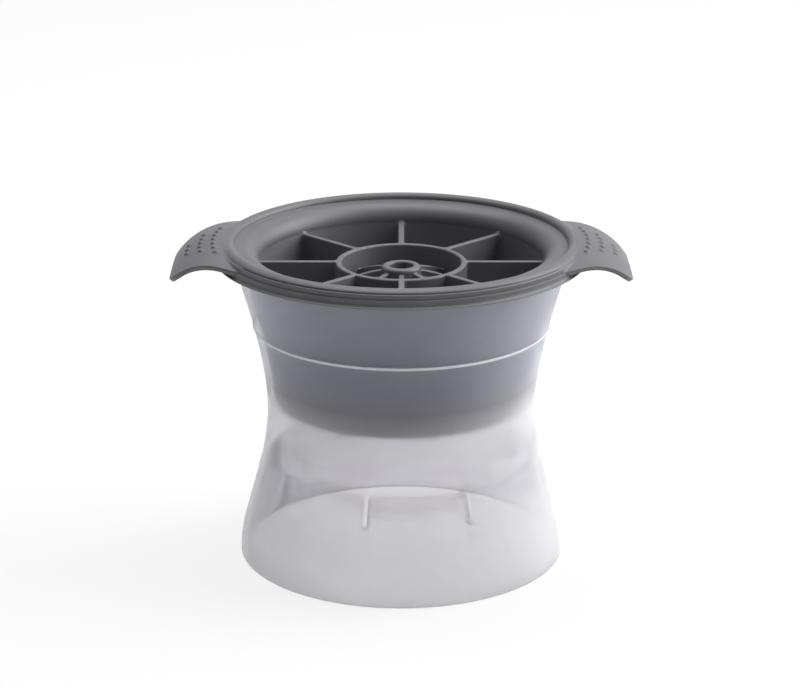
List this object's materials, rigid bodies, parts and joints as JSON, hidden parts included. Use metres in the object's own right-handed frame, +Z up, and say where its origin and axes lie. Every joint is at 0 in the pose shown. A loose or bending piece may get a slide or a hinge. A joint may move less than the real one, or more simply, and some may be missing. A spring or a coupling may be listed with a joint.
{
  "type": "ball ice mould",
  "caption": "Hourglass cup holding the lower half of a ball-shaped cavity, closed by a soft cap with a domed and ribbed plug, a fill hole and two down-curled pull tabs.",
  "frame": {"origin": "on the table at the middle of the foot", "axes": "+Z up along the mould's axis, +X towards one of the two pull tabs"},
  "size_m": [0.1074, 0.0874, 0.0773],
  "materials": {
    "silicone": "matt dark grey silicone",
    "clear_plastic": "satin, translucent natural polypropylene"
  },
  "bodies": {
    "base": {"hourglass_base": "clear_plastic"},
    "cap": {"silicone_cap": "silicone"}
  },
  "joints": [
    {"name": "cap_lift", "type": "slide", "parent": "base", "child": "cap", "axis": [0, 0, 1], "range_m": [0, 0.045]}
  ]
}
